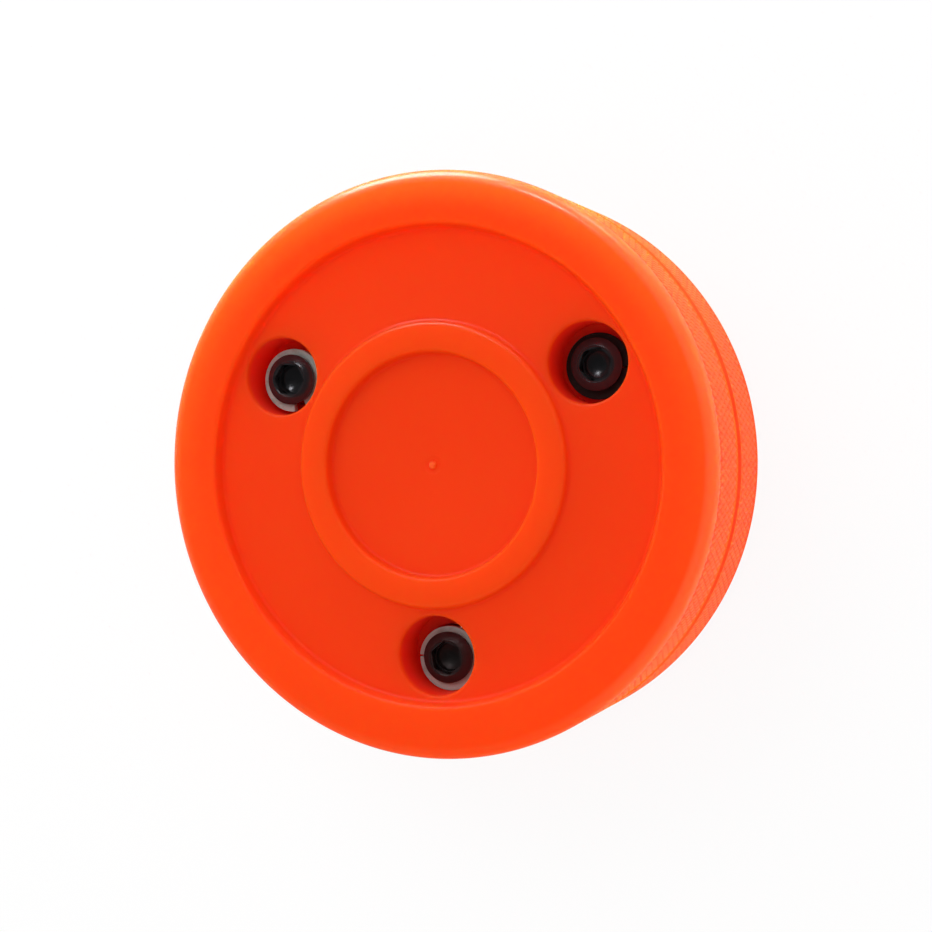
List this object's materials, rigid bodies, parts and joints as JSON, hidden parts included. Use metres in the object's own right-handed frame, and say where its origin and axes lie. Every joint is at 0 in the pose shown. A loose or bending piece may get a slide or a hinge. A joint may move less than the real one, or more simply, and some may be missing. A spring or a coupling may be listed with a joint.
{
  "type": "two-piece training hockey puck",
  "caption": "Flat round off-ice training puck: two moulded halves that float on loose socket-screw studs, with a recessed face ring, raised hub and knurled edge.",
  "frame": {"origin": "centre of the puck's lower rim plane, on the puck's axis", "axes": "+Z along the puck's axis, out of the front half's face; one stud lies on -Y"},
  "size_m": [0.0762, 0.0762, 0.0254],
  "materials": {
    "orange_plastic": "satin moulded orange plastic",
    "plated_steel": "dull zinc-plated steel",
    "black_steel": "black-oxide steel with an oily sheen"
  },
  "bodies": {
    "rear_half": {"rear_half": "orange_plastic"},
    "front_half": {"front_half": "orange_plastic"},
    "stud_1": {"spacer_1": "plated_steel", "front_lock_washer_1": "black_steel", "front_screw_1": "black_steel", "rear_lock_washer_1": "black_steel", "rear_screw_1": "black_steel"},
    "stud_2": {"spacer_2": "plated_steel", "front_lock_washer_2": "plated_steel", "front_screw_2": "black_steel", "rear_lock_washer_2": "plated_steel", "rear_screw_2": "black_steel"},
    "stud_3": {"spacer_3": "plated_steel", "front_lock_washer_3": "plated_steel", "front_screw_3": "black_steel", "rear_lock_washer_3": "plated_steel", "rear_screw_3": "black_steel"}
  },
  "joints": [
    {"name": "halves_float", "type": "slide", "parent": "rear_half", "child": "front_half", "axis": [0, 0, 1], "range_m": [0, 0.0012]},
    {"name": "stud_1_spin", "type": "hinge", "parent": "front_half", "child": "stud_1", "pos_m": [0.0215, 0.01233, 0.0121], "axis": [0, 0, 1], "continuous": true},
    {"name": "stud_2_spin", "type": "hinge", "parent": "rear_half", "child": "stud_2", "pos_m": [-0.0215, 0.01207, 0.0133], "axis": [0, 0, 1], "continuous": true},
    {"name": "stud_3_spin", "type": "hinge", "parent": "front_half", "child": "stud_3", "pos_m": [0, -0.0255, 0.0121], "axis": [0, 0, 1], "continuous": true}
  ]
}
